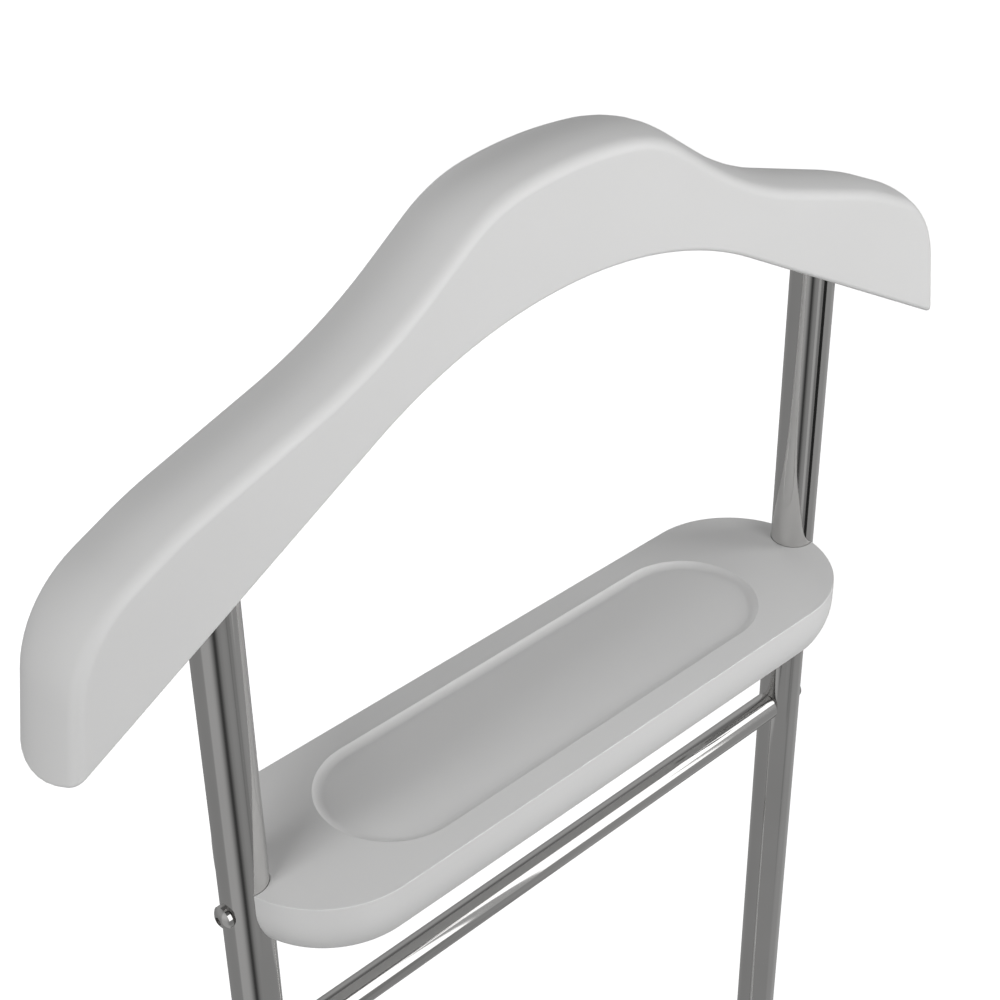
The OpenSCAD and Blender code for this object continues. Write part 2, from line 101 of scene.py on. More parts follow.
def addBump(tree, shader, layers):
    normal = None
    for height, depth in layers:
        bump = tree.nodes.new("ShaderNodeBump")
        bump.inputs["Distance"].default_value = depth
        tree.links.new(height, bump.inputs["Height"])
        if normal:
            tree.links.new(normal, bump.inputs["Normal"])
        normal = bump.outputs["Normal"]
    tree.links.new(normal, shader.inputs["Normal"])


# finishes

lacquerLook = {
    "paint": (0.80, 0.799, 0.795),
    "paintShade": (0.775, 0.774, 0.770),  # slow change of tone over a board
    "toneSize": 9,                        # noise sizes are per metre
    "gloss": (0.34, 0.42),                # roughness, from the smoothest patches to the dullest
    "glossSize": 60,
    "peelSize": 420,                      # fine ripple of sprayed paint
    "peelDepth": 0.000012,
    "grainSize": 26,                      # long soft waves left by sanding
    "grainDepth": 0.00006,
}


def makeLacquer(look):
    finish, tree, shader, coords = newFinish("whiteSatinLacquer")
    tone = addNoise(tree, coords, look["toneSize"], detail=2)
    paint = addTones(tree, tone, look["paintShade"], look["paint"])
    tree.links.new(paint, shader.inputs["Base Color"])
    patches = addNoise(tree, coords, look["glossSize"])
    tree.links.new(addRange(tree, patches, *look["gloss"]), shader.inputs["Roughness"])
    peel = addNoise(tree, coords, look["peelSize"], detail=2)
    grain = addNoise(tree, coords, look["grainSize"], detail=2)
    addBump(tree, shader, [(grain, look["grainDepth"]), (peel, look["peelDepth"])])
    return finish


chromeLook = {
    "metal": (0.725, 0.718, 0.708),
    "metalShade": (0.695, 0.688, 0.678),
    "toneSize": 30,
    "gloss": (0.06, 0.1),
    "drawSize": 900,                      # lines left by drawing the tube, across it
    "drawStretch": 0.01,                  # and along it
    "drawDepth": 0.0000012,
    "waveSize": 38,
    "waveDepth": 0.00001,
}


def makeChrome(look, name, along):
    finish, tree, shader, coords = newFinish(name)
    shader.inputs["Metallic"].default_value = 1
    tone = addNoise(tree, coords, look["toneSize"], detail=2)
    metal = addTones(tree, tone, look["metalShade"], look["metal"])
    tree.links.new(metal, shader.inputs["Base Color"])
    stretch = [look["drawStretch"] if k == along else 1 for k in range(3)]
    lines = addNoise(tree, addStretch(tree, coords, stretch), look["drawSize"], detail=2)
    tree.links.new(addRange(tree, lines, *look["gloss"]), shader.inputs["Roughness"])
    wave = addNoise(tree, coords, look["waveSize"], detail=1)
    addBump(tree, shader, [(wave, look["waveDepth"]), (lines, look["drawDepth"])])
    return finish


zincLook = {
    "metal": (0.52, 0.53, 0.55),
    "metalShade": (0.42, 0.43, 0.44),
    "gloss": (0.3, 0.5),
    "spangleSize": 700,
    "spangleDepth": 0.00001,
}


def makeZinc(look):
    finish, tree, shader, coords = newFinish("zincPlatedSteel")
    shader.inputs["Metallic"].default_value = 1
    spangle = addNoise(tree, coords, look["spangleSize"], detail=4)
    metal = addTones(tree, spangle, look["metalShade"], look["metal"])
    tree.links.new(metal, shader.inputs["Base Color"])
    tree.links.new(addRange(tree, spangle, *look["gloss"]), shader.inputs["Roughness"])
    addBump(tree, shader, [(spangle, look["spangleDepth"])])
    return finish


plasticLook = {
    "plastic": (0.022, 0.022, 0.024),
    "plasticShade": (0.014, 0.014, 0.015),
    "gloss": (0.45, 0.6),
    "pebbleSize": 1400,                   # spark-eroded texture of the mould
    "pebbleDepth": 0.00003,
}


def makePlastic(look):
    finish, tree, shader, coords = newFinish("blackMouldedPlastic")
    pebbles = addNoise(tree, coords, look["pebbleSize"], detail=2)
    colour = addTones(tree, pebbles, look["plasticShade"], look["plastic"])
    tree.links.new(colour, shader.inputs["Base Color"])
    tree.links.new(addRange(tree, pebbles, *look["gloss"]), shader.inputs["Roughness"])
    addBump(tree, shader, [(pebbles, look["pebbleDepth"])])
    return finish


lacquer = makeLacquer(lacquerLook)
chromeUpright = makeChrome(chromeLook, "chromeUpright", 2)
chromeAcross = makeChrome(chromeLook, "chromeAcross", 0)
chromeForward = makeChrome(chromeLook, "chromeForward", 1)
chromeBent = makeChrome(chromeLook, "chromeBent", None)
zinc = makeZinc(zincLook)
plastic = makePlastic(plasticLook)

for name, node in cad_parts.items():
    if "inserts" in name or "nuts" in name:
        chosen = zinc
    elif "cap" in name or "pad" in name or "spacers" in name:
        chosen = plastic
    else:
        chosen = lacquer if name in ("hanger", "tray", "seat") else chromeBent
    for materialSlot in node.material_slots:
        materialSlot.material = chosen
print("finishes: done")


# helpers for the boards

closeBy = 1e-6                            # metres; points nearer than this count as one


def addPiece(name, mesh, finish, node):
    piece = bpy.data.objects.new(name, mesh)
    scene.collection.objects.link(piece)
    mesh.materials.clear()
    mesh.materials.append(finish)
    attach(piece, "root")
    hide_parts(node)
    return piece


def addCylinder(bm, radius, start, end, segments=96):
    run = end - start
    place = Matrix.Translation((start + end) / 2) @ run.to_track_quat("Z", "Y").to_matrix().to_4x4()
    bmesh.ops.create_cone(bm, cap_ends=True, segments=segments, radius1=radius, radius2=radius,
                          depth=run.length, matrix=place)


def makeMesh(name, bm):
    bmesh.ops.recalc_face_normals(bm, faces=bm.faces[:])
    mesh = bpy.data.meshes.new(name)
    bm.to_mesh(mesh)
    bm.free()
    return mesh


def cutHoles(board, cutters):             # a boolean cut, kept as plain mesh
    cutMesh = makeMesh("cutters", cutters)
    cutPiece = bpy.data.objects.new("cutters", cutMesh)
    boardPiece = bpy.data.objects.new("uncut", board)
    scene.collection.objects.link(cutPiece)
    scene.collection.objects.link(boardPiece)
    cut = boardPiece.modifiers.new("holes", "BOOLEAN")
    cut.operation, cut.solver, cut.object = "DIFFERENCE", "EXACT", cutPiece
    evaluated = boardPiece.evaluated_get(bpy.context.evaluated_depsgraph_get())
    done = bpy.data.meshes.new_from_object(evaluated)
    for spare in (cutPiece, boardPiece):
        bpy.data.objects.remove(spare)
    return done


def smoothPiece(piece, creaseAngle=32, flatWeight=100):
    # round edges shade softly, flat faces stay flat
    bm = bmesh.new()
    bm.from_mesh(piece.data)
    for edge in bm.edges:
        edge.smooth = edge.calc_face_angle(0) < math.radians(creaseAngle)
    for face in bm.faces:
        face.smooth = True
    bm.to_mesh(piece.data)
    bm.free()
    weighted = piece.modifiers.new("flatFaces", "WEIGHTED_NORMAL")
    weighted.weight = flatWeight
    weighted.keep_sharp = True


def bevelEdges(bm, edges, size, segments, kind="OFFSET"):
    bmesh.ops.bevel(bm, geom=edges, offset=size, offset_type=kind, segments=segments,
                    profile=0.5, affect="EDGES", material=-1, clamp_overlap=True)


def bevelSharp(bm, size, segments, kind="OFFSET", over=30):
    sharp = [e for e in bm.edges if e.calc_face_angle(0) > math.radians(over)]
    bevelEdges(bm, sharp, size, segments, kind)


def topFace(bm, facingUp=0.9):            # the largest face that looks up
    return max(bm.faces, key=lambda f: f.calc_area() * (f.normal.z > facingUp))


postLow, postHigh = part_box("post_right")
postX = (postLow.x + postHigh.x) / 2
postY = (postLow.y + postHigh.y) / 2
postRadius = (postHigh.x - postLow.x) / 2

# hanger: the crown's arc is swept along the outline, then the flat faces close it

hangerShape = {
    "crown": 0.0044,                      # rise of the rounded top above its two creases
    "middle": 0.0451,                     # from the crease down to the arch, at the middle
    "outline": [                          # outwards: (radius, slope it ends at), or a length
        (0.181, 8), (0.0615, 35.8), 0.020, (-0.194, 18.4), 0.045,
        (0.148, 25.7), 0.014, (0.045, 80.8), 0.060,
    ],
    "archRadius": 0.195,
    "archSlope": 29,
    "stepLength": 0.004,
    "crownSteps": 8,
    "flatAngle": 0.001,                   # radians; faces closer in slope are joined
    "shortest": 0.0004,                   # shorter edges are closed up before the rounding
    "creaseWidth": 0.005,                 # width of the rounding between the front and the crown
    "creaseSteps": 4,
    "creaseUp": 0.01,                     # the crown's faces look up by more than this
    "roundWidth": 0.0028,                 # width of the rounding along the other edges
    "roundSteps": 5,
    "socketRadius": 0.00965,
    "socketDepth": 0.025,
    "socketPast": 0.03,                   # how far the cutter goes on below the socket
    "screwUp": 0.014,
    "screwRadius": 0.00265,
    "screwPast": 0.002,
    "screwSides": 48,
}


def weldTip(bm, edges):                   # joins the arch's last edge to the crown's trimmed end
    bmesh.ops.remove_doubles(bm, verts=list({v for e in edges for v in e.verts}), dist=2 * closeBy)
    return [e for e in edges if e.is_valid]


def buildHanger(shape):
    low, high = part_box("hanger")
    backY, frontY = high.y, low.y
    midY, half = (low.y + high.y) / 2, (high.y - low.y) / 2
    creaseZ = high.z - shape["crown"]
    archZ = creaseZ - shape["middle"]
    crownRadius = (half ** 2 + shape["crown"] ** 2) / (2 * shape["crown"])
    crownTurn = math.asin(half / crownRadius)
    down = (0, 1, 0)                      # turning about +y lowers the way ahead

    bm = bmesh.new()
    first = bm.verts.new((0, frontY, creaseZ))
    bmesh.ops.spin(bm, geom=[first], cent=(0, midY, high.z - crownRadius), axis=(1, 0, 0),
                   angle=-2 * crownTurn, steps=shape["crownSteps"])
    section, slope, at = bm.verts[:] + bm.edges[:], 0, Vector((0, midY, creaseZ))
    for leg in shape["outline"]:
        ahead = Vector((math.cos(math.radians(slope)), 0, -math.sin(math.radians(slope))))
        outwards = Vector((-ahead.z, 0, ahead.x))
        if isinstance(leg, tuple):
            radius, nextSlope = leg
            turn = math.radians(nextSlope - slope)
            centre = at - radius * outwards
            steps = max(2, round(abs(radius * turn) / shape["stepLength"]))
            section = bmesh.ops.spin(bm, geom=section, cent=centre, axis=down, angle=turn,
                                     steps=steps)["geom_last"]
            at = centre + Matrix.Rotation(turn, 3, "Y") @ (at - centre)
            slope = nextSlope
        else:
            section = bmesh.ops.spin(bm, geom=section, cent=at, axis=down, angle=0,
                                     dvec=ahead * leg, steps=1)["geom_last"]
            at = at + ahead * leg

    # the arch, and the straight line from it to the tip, which also trims the crown
    archTurn = math.radians(shape["archSlope"])
    archCentre = Vector((0, midY, archZ - shape["archRadius"]))
    archEnd = archCentre + shape["archRadius"] * Vector((math.sin(archTurn), 0, math.cos(archTurn)))
    upFromArch = Vector((math.sin(archTurn), 0, math.cos(archTurn)))
    bmesh.ops.bisect_plane(bm, geom=bm.verts[:] + bm.edges[:] + bm.faces[:], dist=closeBy / 10,
                           plane_co=archEnd, plane_no=upFromArch, clear_inner=True)
    trimmed = [e for e in bm.edges if e.is_boundary
               and all(abs((v.co - archEnd).dot(upFromArch)) < closeBy for v in e.verts)]
    tipFront = min((v for e in trimmed for v in e.verts), key=lambda v: v.co.y)
    straight = tipFront.co - archEnd
    straight.y = 0

    start = bm.verts.new((0, frontY, archZ))
    end = bm.verts.new((0, backY, archZ))
    strip = [start, end, bm.edges.new((start, end))]
    steps = round(shape["archRadius"] * archTurn / shape["stepLength"])
    strip = bmesh.ops.spin(bm, geom=strip, cent=archCentre, axis=down, angle=archTurn,
                           steps=steps)["geom_last"]
    strip = bmesh.ops.spin(bm, geom=strip, cent=archEnd, axis=down, angle=0,
                           dvec=straight, steps=1)["geom_last"]
    lastEdge = [e for e in strip if isinstance(e, bmesh.types.BMEdge)]
    bmesh.ops.contextual_create(bm, geom=weldTip(bm, trimmed + lastEdge))
    bmesh.ops.mirror(bm, geom=bm.verts[:] + bm.edges[:] + bm.faces[:], merge_dist=closeBy, axis="X")
    bmesh.ops.remove_doubles(bm, verts=bm.verts[:], dist=2 * closeBy)
    bmesh.ops.dissolve_degenerate(bm, dist=shape["shortest"], edges=bm.edges[:])
    bmesh.ops.holes_fill(bm, edges=bm.edges[:], sides=0)
    bmesh.ops.recalc_face_normals(bm, faces=bm.faces[:])
    flat = [e for e in bm.edges if e.calc_face_angle(1) < shape["flatAngle"]]
    bmesh.ops.dissolve_edges(bm, edges=flat)
    crease = [e for e in bm.edges if all(v.co.y - frontY < 10 * closeBy for v in e.verts)
              and max(f.normal.z for f in e.link_faces) > shape["creaseUp"]]
    bevelEdges(bm, crease, shape["creaseWidth"], shape["creaseSteps"], "WIDTH")
    bevelSharp(bm, shape["roundWidth"], shape["roundSteps"], "WIDTH")
    board = makeMesh("hangerBoard", bm)

    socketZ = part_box("post_right")[1].z
    cutters = bmesh.new()
    for side in (-1, 1):
        mouthZ = socketZ - shape["socketDepth"]
        below = Vector((side * postX, midY, mouthZ - shape["socketPast"]))
        addCylinder(cutters, shape["socketRadius"], below, Vector((side * postX, midY, socketZ)))
        screwZ = mouthZ + shape["screwUp"]
        addCylinder(cutters, shape["screwRadius"], Vector((side * postX, midY, screwZ)),
                    Vector((side * postX, backY + shape["screwPast"], screwZ)), shape["screwSides"])
    return cutHoles(board, cutters)


hanger = addPiece("hangerBoard", buildHanger(hangerShape), lacquer, "hanger")
smoothPiece(hanger)
print("hanger:", len(hanger.data.polygons), "faces")

# tray and seat: a round-cornered board with a shallow recess, coved at its rim

trayShape = {
    "sideHeight": 0.008,                  # upright part of the side, below which it curves in
    "underRadius": 0.030,
    "underSteps": 8,
    "edgeRound": 0.0004,
    "edgeSteps": 3,
    "recessSide": 0.0122,                 # long side to recess
    "recessEnd": 0.0445,                  # round end to recess
    "recessDeep": 0.0018,
    "slopeWidth": 0.0044,
    "slopeSteps": 7,
    "endSegments": 128,
    "notchRadius": 0.00965,
    "notchPast": 0.01,
}
seatShape = {
    "corner": 0.078,
    "cornerSteps": 28,
    "edgeRound": 0.004,
    "edgeSteps": 6,
    "recessSide": 0.034,
    "recessDeep": 0.002,
    "slopeWidth": 0.009,
    "slopeSteps": 8,
}


def sinkRecess(bm, top, shape):           # a cove in small steps, steepest at the rim
    deep, width, count = shape["recessDeep"], shape["slopeWidth"], shape["slopeSteps"]
    radius = (width ** 2 + deep ** 2) / (2 * deep)

    def fall(reach):                      # depth of the cove at a distance from the rim
        return deep - radius + math.sqrt(radius ** 2 - (width - reach) ** 2)

    for step in range(count):
        before, after = (fall(width * k / count) for k in (step, step + 1))
        bmesh.ops.inset_region(bm, faces=[top], thickness=width / count, depth=-(after - before),
                               use_even_offset=True)


def thicken(bm, top, thickness):
    walls = bmesh.ops.extrude_face_region(bm, geom=[top], use_keep_orig=True)
    lower = [v for v in walls["geom"] if isinstance(v, bmesh.types.BMVert)]
    bmesh.ops.translate(bm, verts=lower, vec=(0, 0, -thickness))


def curveUnder(bm, drop, shape):          # the lower face goes down in rings that follow an arc
    radius, count = shape["underRadius"], shape["underSteps"]
    turn = math.asin(drop / radius)
    lower = min(bm.faces, key=lambda f: f.calc_center_median().z)
    for step in range(count):
        before, after = (turn * k / count for k in (step, step + 1))
        inwards = radius * (math.cos(before) - math.cos(after))
        down = radius * (math.sin(after) - math.sin(before))
        bmesh.ops.inset_region(bm, faces=[lower], thickness=inwards, depth=down,
                               use_even_offset=True)


def buildTray(shape):
    low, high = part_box("tray")
    radius = (high.y - low.y) / 2
    shift = (high.x - low.x) / 2 - radius
    bm = bmesh.new()
    bmesh.ops.create_circle(bm, cap_ends=True, radius=radius, segments=shape["endSegments"],
                            matrix=Matrix.Rotation(math.pi / shape["endSegments"], 4, "Z"))
    for v in bm.verts:
        v.co.x += math.copysign(shift, v.co.x)
    bmesh.ops.translate(bm, verts=bm.verts[:], vec=(0, (low.y + high.y) / 2, high.z))
    thicken(bm, next(iter(bm.faces)), shape["sideHeight"])
    bmesh.ops.recalc_face_normals(bm, faces=bm.faces[:])
    curveUnder(bm, high.z - low.z - shape["sideHeight"], shape)
    bevelSharp(bm, shape["edgeRound"], shape["edgeSteps"])
    top = topFace(bm)
    bmesh.ops.inset_region(bm, faces=[top], thickness=shape["recessSide"] - shape["edgeRound"],
                           use_even_offset=True)
    for v in top.verts:                   # the recess stops further from the round ends
        v.co.x -= math.copysign(shape["recessEnd"] - shape["recessSide"], v.co.x)
    sinkRecess(bm, top, shape)
    board = makeMesh("trayBoard", bm)
    cutters = bmesh.new()
    for side in (-1, 1):
        below = Vector((side * postX, postY, low.z - shape["notchPast"]))
        above = Vector((side * postX, postY, high.z + shape["notchPast"]))
        addCylinder(cutters, shape["notchRadius"], below, above)
    return cutHoles(board, cutters)


def buildSeat(shape):
    low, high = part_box("seat")
    middle = (low + high) / 2
    bm = bmesh.new()
    bmesh.ops.create_grid(bm, x_segments=1, y_segments=1, size=0.5,
                          matrix=Matrix.Translation((middle.x, middle.y, high.z))
                          @ Matrix.Diagonal((high.x - low.x, high.y - low.y, 1, 1)))
    bmesh.ops.bevel(bm, geom=bm.verts[:], offset=shape["corner"], offset_type="OFFSET",
                    segments=shape["cornerSteps"], profile=0.5, affect="VERTICES", material=-1)
    thicken(bm, next(iter(bm.faces)), high.z - low.z)
    bmesh.ops.recalc_face_normals(bm, faces=bm.faces[:])
    bevelSharp(bm, shape["edgeRound"], shape["edgeSteps"])
    top = topFace(bm)
    bmesh.ops.inset_region(bm, faces=[top], thickness=shape["recessSide"] - shape["edgeRound"],
                           use_even_offset=True)
    sinkRecess(bm, top, shape)
    return makeMesh("seatBoard", bm)


tray = addPiece("trayBoard", buildTray(trayShape), lacquer, "tray")
smoothPiece(tray)
print("tray:", len(tray.data.polygons), "faces")
seat = addPiece("seatBoard", buildSeat(seatShape), lacquer, "seat")
smoothPiece(seat)
print("seat:", len(seat.data.polygons), "faces")


# tubes: a ring swept along straights and bends

tubeShape = {
    "sides": 80,
    "thickWall": 0.0015,
    "thinWall": 0.0012,
    "bendRadius": 0.05,
    "bendSteps": 28,
    "gap": 0.00005,                       # where a tube's end is coped to another tube
    "straights": {                        # node: its wall, None for a solid rod, and its finish
        "post_left": ("thickWall", chromeUpright),
        "post_right": ("thickWall", chromeUpright),
        "runner_left": ("thickWall", chromeForward),
        "runner_right": ("thickWall", chromeForward),
        "trouser_bar": ("thinWall", chromeAcross),
        "front_crossbar": ("thinWall", chromeAcross),
        "rack_side_left": ("thinWall", chromeForward),
        "rack_side_right": ("thinWall", chromeForward),
        "shoe_rod_front": (None, chromeAcross),
        "shoe_rod_middle": (None, chromeAcross),
        "shoe_rod_rear": (None, chromeAcross),
    },
}


def sweepTube(shape, radius, wall, start, legs):
    bm = bmesh.new()
    place = Matrix.Translation(start) @ legs[0].to_track_quat("Z", "Y").to_matrix().to_4x4()
    bmesh.ops.create_circle(bm, cap_ends=wall is None, radius=radius, segments=shape["sides"],
                            matrix=place)
    end = bm.faces[:]
    if wall:
        bmesh.ops.create_circle(bm, radius=radius - wall, segments=shape["sides"], matrix=place)
        end = bmesh.ops.bridge_loops(bm, edges=bm.edges[:])["faces"]
    for leg in legs:
        if isinstance(leg, Vector):
            swept = bmesh.ops.spin(bm, geom=end, cent=start, axis=(0, 0, 1), dvec=leg, angle=0,
                                   steps=1)
        else:
            centre, axis, angle = leg
            swept = bmesh.ops.spin(bm, geom=end, cent=centre, axis=axis, angle=angle,
                                   steps=shape["bendSteps"])
        end = [f for f in swept["geom_last"] if isinstance(f, bmesh.types.BMFace)]
    return bm


def camelName(node):
    first, *others = node.split("_")
    return first + "".join(word.title() for word in others)


def runnerCutter(x):                      # the runner under a post or leg, to cope its end
    low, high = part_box("runner_right")
    z, radius = (low.z + high.z) / 2, (high.z - low.z) / 2
    cutter = bmesh.new()
    addCylinder(cutter, radius + tubeShape["gap"], Vector((x, low.y, z)), Vector((x, high.y, z)))
    return cutter


def buildStraight(shape, node, wallName):
    low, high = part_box(node)
    size = high - low
    along = max(range(3), key=lambda k: size[k])
    start = (low + high) / 2
    start[along] = low[along]
    run = Vector((0, 0, 0))
    run[along] = size[along]
    wall = shape[wallName] if wallName else None
    mesh = makeMesh(node, sweepTube(shape, min(size) / 2, wall, start, [run]))
    return cutHoles(mesh, runnerCutter(start.x)) if "post" in node else mesh


def buildLeg(shape, node):
    low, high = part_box(node)
    x, radius, bend = (low.x + high.x) / 2, (high.x - low.x) / 2, shape["bendRadius"]
    legY, railZ = low.y + radius, high.z - radius
    legs = [
        Vector((0, 0, railZ - bend - low.z)),
        (Vector((x, legY + bend, railZ - bend)), (1, 0, 0), -math.pi / 2),
        Vector((0, postY - legY - bend, 0)),
    ]
    foot = Vector((x, legY, low.z))
    mesh = makeMesh(node, sweepTube(shape, radius, shape["thickWall"], foot, legs))
    postCutter = bmesh.new()
    addCylinder(postCutter, radius + shape["gap"], Vector((x, postY, railZ - bend)),
                Vector((x, postY, railZ + bend)))
    return cutHoles(cutHoles(mesh, postCutter), runnerCutter(x))


for node, (wallName, finish) in tubeShape["straights"].items():
    mesh = buildStraight(tubeShape, node, wallName)
    smoothPiece(addPiece(camelName(node), mesh, finish, node))
for node in ("front_leg_left", "front_leg_right"):
    mesh = buildLeg(tubeShape, node)
    smoothPiece(addPiece(camelName(node), mesh, chromeBent, node))
print("tubes: done")

# dome-headed screws with a hexagon socket

screwShape = {
    "headRadius": 0.00475,
    "headHeight": 0.0037,
    "headRim": 0.0015,                    # straight side below the dome
    "shankRadius": 0.0025,
    "socketFlats": 0.003,
    "socketDepth": 0.0015,
    "domeSteps": 10,
    "sides": 48,
    "sets": {                             # node: which way the heads face, and the shank's length
        "trouser_bar_screws": ("x", 0.03155),
        "crossbar_screws": ("x", 0.03155),
        "tray_screws": ("x", 0.045),
        "hanger_screws": ("+y", 0.012),
        "rail_screws": ("+y", 0.03155),
        "rack_rear_screws": ("+y", 0.03155),
        "rack_front_screws": ("-y", 0.03155),
        "seat_screws": ("-z", 0.036),
        "runner_screws": ("-z", 0.0315),
    },
}


def buildScrew(shape, length):            # its head stands on z = 0, its shank points down
    head, rise, shank = shape["headRadius"], shape["headHeight"], shape["shankRadius"]
    dome = rise - shape["headRim"]
    domeRadius = (head ** 2 + dome ** 2) / (2 * dome)
    bm = bmesh.new()
    pole = bm.verts.new((0, 0, rise))
    rim = bmesh.ops.spin(bm, geom=[pole], cent=(0, 0, rise - domeRadius), axis=(0, 1, 0),
                         angle=math.asin(head / domeRadius), steps=shape["domeSteps"])["geom_last"]
    corner = next(v for v in rim if isinstance(v, bmesh.types.BMVert))
    for place in ((head, 0, 0), (shank, 0, 0), (shank, 0, -length), (0, 0, -length)):
        corner = bmesh.ops.extrude_vert_indiv(bm, verts=[corner])["verts"][0]
        corner.co = place
    bmesh.ops.spin(bm, geom=bm.verts[:] + bm.edges[:], cent=(0, 0, 0), axis=(0, 0, 1),
                   angle=2 * math.pi, steps=shape["sides"], use_merge=True)
    bmesh.ops.remove_doubles(bm, verts=bm.verts[:], dist=closeBy)
    socket = bmesh.new()
    corners = shape["socketFlats"] / math.sqrt(3)
    bmesh.ops.create_cone(socket, cap_ends=True, segments=6, radius1=corners, radius2=corners,
                          depth=2 * shape["socketDepth"], matrix=Matrix.Translation((0, 0, rise)))
    return cutHoles(makeMesh("screw", bm), socket)


def screwPlaces(shape, node, facing):     # where each head stands, from the node's box
    low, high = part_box(node)
    middle, head, rise = (low + high) / 2, shape["headRadius"], shape["headHeight"]
    if facing == "x":
        return [(Vector((side * (high.x - rise), middle.y, middle.z)), Vector((side, 0, 0)))
                for side in (-1, 1)]
    if facing == "-z":
        return [(Vector((side * (high.x - head), y, low.z + rise)), Vector((0, 0, -1)))
                for side in (-1, 1) for y in (low.y + head, high.y - head)]
    y, way = (high.y - rise, 1) if facing == "+y" else (low.y + rise, -1)
    return [(Vector((side * (high.x - head), y, middle.z)), Vector((0, way, 0)))
            for side in (-1, 1)]


for node, (facing, length) in screwShape["sets"].items():
    screw = buildScrew(screwShape, length)
    bm = bmesh.new()
    for place, way in screwPlaces(screwShape, node, facing):
        known = len(bm.verts)
        bm.from_mesh(screw)
        bm.verts.ensure_lookup_table()
        turn = Matrix.Translation(place) @ way.to_track_quat("Z", "Y").to_matrix().to_4x4()
        bmesh.ops.transform(bm, matrix=turn, verts=bm.verts[known:])
    smoothPiece(addPiece(camelName(node), makeMesh(node, bm), chromeBent, node))
print("screws: done")

# floor, background and lamps

floorLook = {
    "size": 40,
    "paint": (0.8, 0.8, 0.8),
    "roughness": 0.9,
    "glowNear": 0.71,                     # lifts the floor to white where nothing shades it
    "glowFar": 1.0,
    "nearRadius": 1.4,
    "farRadius": 3.5,
}
worldLook = {
    "fill": 0.12,                         # soft light from all round
    "white": 1.0,                         # what the camera and the metal see
}
lampLook = {
    "target": (0.0, 0.13, 0.98),
    "lamps": [                            # name, place, size, power
        ("nearFront", (0.0, -0.65, 1.15), 0.4, 2.45),
        ("nearRight", (0.80, -0.50, 1.15), 0.4, 3.55),
        ("nearLow", (0.05, -0.55, 0.78), 0.3, 0.33),
        ("leftLow", (-2.22, 0.13, 1.575), 0.5, 9.4),
        ("leftHigh", (-1.82, -0.36, 2.30), 0.8, 14.6),
        ("behind", (1.146, 2.114, 1.18), 1.0, 14.0),
        ("overhead", (0.0, 0.08, 2.2), 0.2, 0.86),
    ],
}
tentLook = {                              # painted reflections: grey walls and sheets that glow for the gloss alone and light nothing
    "radius": 1.15,
    "height": 2.2,
    "sides": 96,
    "overFloor": 0.002,
    "stripes": [                          # painted reflection streaks: degrees from the front to the right, and brightness
        (-180, 0.25), (-118, 0.26), (-108, 0.27), (-103, 0.40), (-80, 0.40), (-72, 0.36),
        (-62, 0.20), (-53, 0.05), (-47, 0.05), (-41, 0.13), (-32, 0.235), (-18, 0.28),
        (-5, 0.28), (7, 0.25), (11, 0.17), (15, 0.23), (27, 0.22), (31, 0.28),
        (46, 0.31), (70, 0.31), (92, 0.38), (122, 0.34), (150, 0.28), (180, 0.25),
    ],
    "brightest": 2,                       # a ramp's colours end at 1, so the heights are scaled
    # brightness of the painted reflections by height
    "heights": [(0.0, 1.0), (0.5, 1.0), (0.95, 1.35), (1.25, 1.3), (1.6, 0.5), (2.2, 0.5)],
    "panels": [                           # glowing sheets that paint reflections and highlights: name, corner, one side, the other side, brightness
        # painted highlights: the white band along the trouser bar
        ("frontPanel", (0.20, -0.86, 0.72), (0.49, 0.23, 0), (0, 0, 1.03), 1.6),
        ("sidePanel", (0.645, -0.655, 1.17), (0.305, 0.355, 0), (0, 0, 0.78), 1.6),
        # painted dark and bright streaks in the chrome post's reflection
        ("paintedDarkStreak", (0.160, 0.099, 0.812), (0.017, 0, 0), (0, 0, 0.175), 0.02),
        ("paintedBrightStreak", (0.075, -0.095, 0.70), (0.055, 0, 0), (0, 0, 0.30), 0.42),
        # painted grey reflection over the seat: the posts mirror this sheet in place of the white
        # seat
        ("seatShade", (-0.18, -0.21, 0.457), (0.36, 0, 0), (0, 0.33, 0), 0.27),
    ],
}


def isSeen(tree):                         # 1 for what the camera and the gloss see directly
    path = tree.nodes.new("ShaderNodeLightPath")
    total = path.outputs["Is Camera Ray"]
    for name in ("Is Glossy Ray", "Is Transmission Ray"):
        largest = tree.nodes.new("ShaderNodeMath")
        largest.operation = "MAXIMUM"
        tree.links.new(total, largest.inputs[0])
        tree.links.new(path.outputs[name], largest.inputs[1])
        total = largest.outputs[0]
    return total


def makeFloor(look):
    finish, tree, shader, coords = newFinish("paleFloor")
    shader.inputs["Base Color"].default_value = (*look["paint"], 1)
    shader.inputs["Roughness"].default_value = look["roughness"]
    shader.inputs["Specular IOR Level"].default_value = 0
    away = tree.nodes.new("ShaderNodeVectorMath")
    away.operation = "LENGTH"
    tree.links.new(coords, away.inputs[0])
    glow = addRange(tree, away.outputs["Value"], look["glowNear"], look["glowFar"],
                    look["nearRadius"], look["farRadius"])
    seen = tree.nodes.new("ShaderNodeMath")
    seen.operation = "MULTIPLY"
    tree.links.new(glow, seen.inputs[0])
    tree.links.new(isSeen(tree), seen.inputs[1])
    light = tree.nodes.new("ShaderNodeEmission")
    tree.links.new(seen.outputs[0], light.inputs["Strength"])
    both = tree.nodes.new("ShaderNodeAddShader")
    tree.links.new(shader.outputs[0], both.inputs[0])
    tree.links.new(light.outputs[0], both.inputs[1])
    tree.links.new(both.outputs[0], tree.nodes["Material Output"].inputs["Surface"])
    bm = bmesh.new()
    bmesh.ops.create_grid(bm, x_segments=8, y_segments=8, size=look["size"] / 2)
    mesh = bpy.data.meshes.new("floor")
    bm.to_mesh(mesh)
    bm.free()
    mesh.materials.append(finish)
    floor = bpy.data.objects.new("floor", mesh)
    scene.collection.objects.link(floor)


